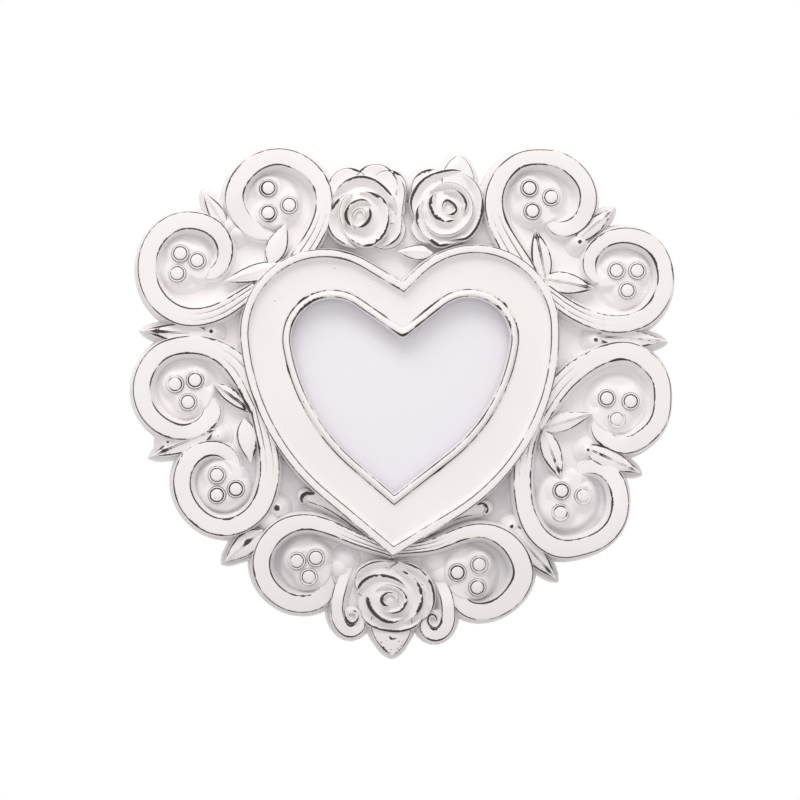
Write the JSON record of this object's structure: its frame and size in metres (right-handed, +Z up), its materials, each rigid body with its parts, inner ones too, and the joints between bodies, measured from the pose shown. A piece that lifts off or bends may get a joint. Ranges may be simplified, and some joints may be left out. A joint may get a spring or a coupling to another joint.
{
  "type": "heart shaped wall picture frame",
  "caption": "Wall picture frame with a heart-shaped moulding and window in a carved border of scrolls, berries, roses and leaves; turn buttons hold the backing.",
  "frame": {"origin": "middle notch of the sawtooth hanger, on the wall plane", "axes": "+Y into the wall, -Y towards the viewer, +Z up, +X to the viewer's right"},
  "size_m": [0.2714, 0.024, 0.2547],
  "materials": {
    "white_paint": "warm white satin paint, rubbed through to dark at the edges",
    "clear_glass": "clear float glass",
    "plain_insert": "smooth blank card, bluish white",
    "grey_card": "grey filler card",
    "brown_board": "hardboard, smooth face",
    "plated_steel": "zinc plated",
    "screw_steel": "zinc plated, domed heads",
    "bumper_rubber": "clear grey rubber"
  },
  "bodies": {
    "root": {"heart_moulding": "white_paint", "border_panel": "white_paint", "scroll_top_left": "white_paint", "scroll_upper_left": "white_paint", "scroll_middle_left": "white_paint", "scroll_lower_left": "white_paint", "scroll_bottom_left": "white_paint", "scroll_top_right": "white_paint", "scroll_upper_right": "white_paint", "scroll_middle_right": "white_paint", "scroll_lower_right": "white_paint", "scroll_bottom_right": "white_paint", "rose_left": "white_paint", "rose_right": "white_paint", "rose_bottom": "white_paint", "leaves_top_left": "white_paint", "leaves_top_right": "white_paint", "leaves_middle_left": "white_paint", "leaves_middle_right": "white_paint", "top_leaf": "white_paint", "centre_leaf": "white_paint", "bottom_leaf": "white_paint", "dart_top_left": "white_paint", "dart_upper_left": "white_paint", "dart_lower_left": "white_paint", "dart_bottom_left": "white_paint", "dart_top_right": "white_paint", "dart_upper_right": "white_paint", "dart_lower_right": "white_paint", "dart_bottom_right": "white_paint", "volute_left": "white_paint", "volute_right": "white_paint", "bud_left": "white_paint", "bud_right": "white_paint", "berries_top_left": "white_paint", "berries_upper_left": "white_paint", "berries_middle_left": "white_paint", "berries_lower_left": "white_paint", "berries_bottom_left": "white_paint", "berries_top_right": "white_paint", "berries_upper_right": "white_paint", "berries_middle_right": "white_paint", "berries_lower_right": "white_paint", "berries_bottom_right": "white_paint", "sawtooth_hanger": "plated_steel", "hanger_nails": "screw_steel", "button_screws": "screw_steel", "wall_bumpers": "bumper_rubber"},
    "button_top_left": {"turn_button_top_left": "plated_steel"},
    "button_bottom_left": {"turn_button_bottom_left": "plated_steel"},
    "button_top_right": {"turn_button_top_right": "plated_steel"},
    "button_bottom_right": {"turn_button_bottom_right": "plated_steel"},
    "board": {"backing_board": "brown_board"},
    "filler": {"filler_card": "grey_card"},
    "insert": {"photo_insert": "plain_insert"},
    "glass": {"glass_pane": "clear_glass"}
  },
  "joints": [
    {"name": "button_top_left_turn", "type": "hinge", "parent": "root", "child": "button_top_left", "pos_m": [-0.05065, -0.0022, -0.03092], "axis": [0, -1, 0], "range_deg": [0, 90]},
    {"name": "button_bottom_left_turn", "type": "hinge", "parent": "root", "child": "button_bottom_left", "pos_m": [-0.0503, -0.0022, -0.11671], "axis": [0, -1, 0], "range_deg": [0, 90]},
    {"name": "button_top_right_turn", "type": "hinge", "parent": "root", "child": "button_top_right", "pos_m": [0.04877, -0.0022, -0.02861], "axis": [0, -1, 0], "range_deg": [0, 90]},
    {"name": "button_bottom_right_turn", "type": "hinge", "parent": "root", "child": "button_bottom_right", "pos_m": [0.04546, -0.0022, -0.12414], "axis": [0, -1, 0], "range_deg": [0, 90]},
    {"name": "board_lift", "type": "slide", "parent": "root", "child": "board", "axis": [0, 1, 0], "range_m": [0, 0.03]},
    {"name": "filler_lift", "type": "slide", "parent": "root", "child": "filler", "axis": [0, 1, 0], "range_m": [0, 0.0225]},
    {"name": "insert_lift", "type": "slide", "parent": "root", "child": "insert", "axis": [0, 1, 0], "range_m": [0, 0.015]},
    {"name": "glass_lift", "type": "slide", "parent": "root", "child": "glass", "axis": [0, 1, 0], "range_m": [0, 0.0075]}
  ],
  "couplings": [
    {"joint": "filler_lift", "follows": "board_lift", "ratio": 0.75},
    {"joint": "insert_lift", "follows": "board_lift", "ratio": 0.5},
    {"joint": "glass_lift", "follows": "board_lift", "ratio": 0.25}
  ]
}
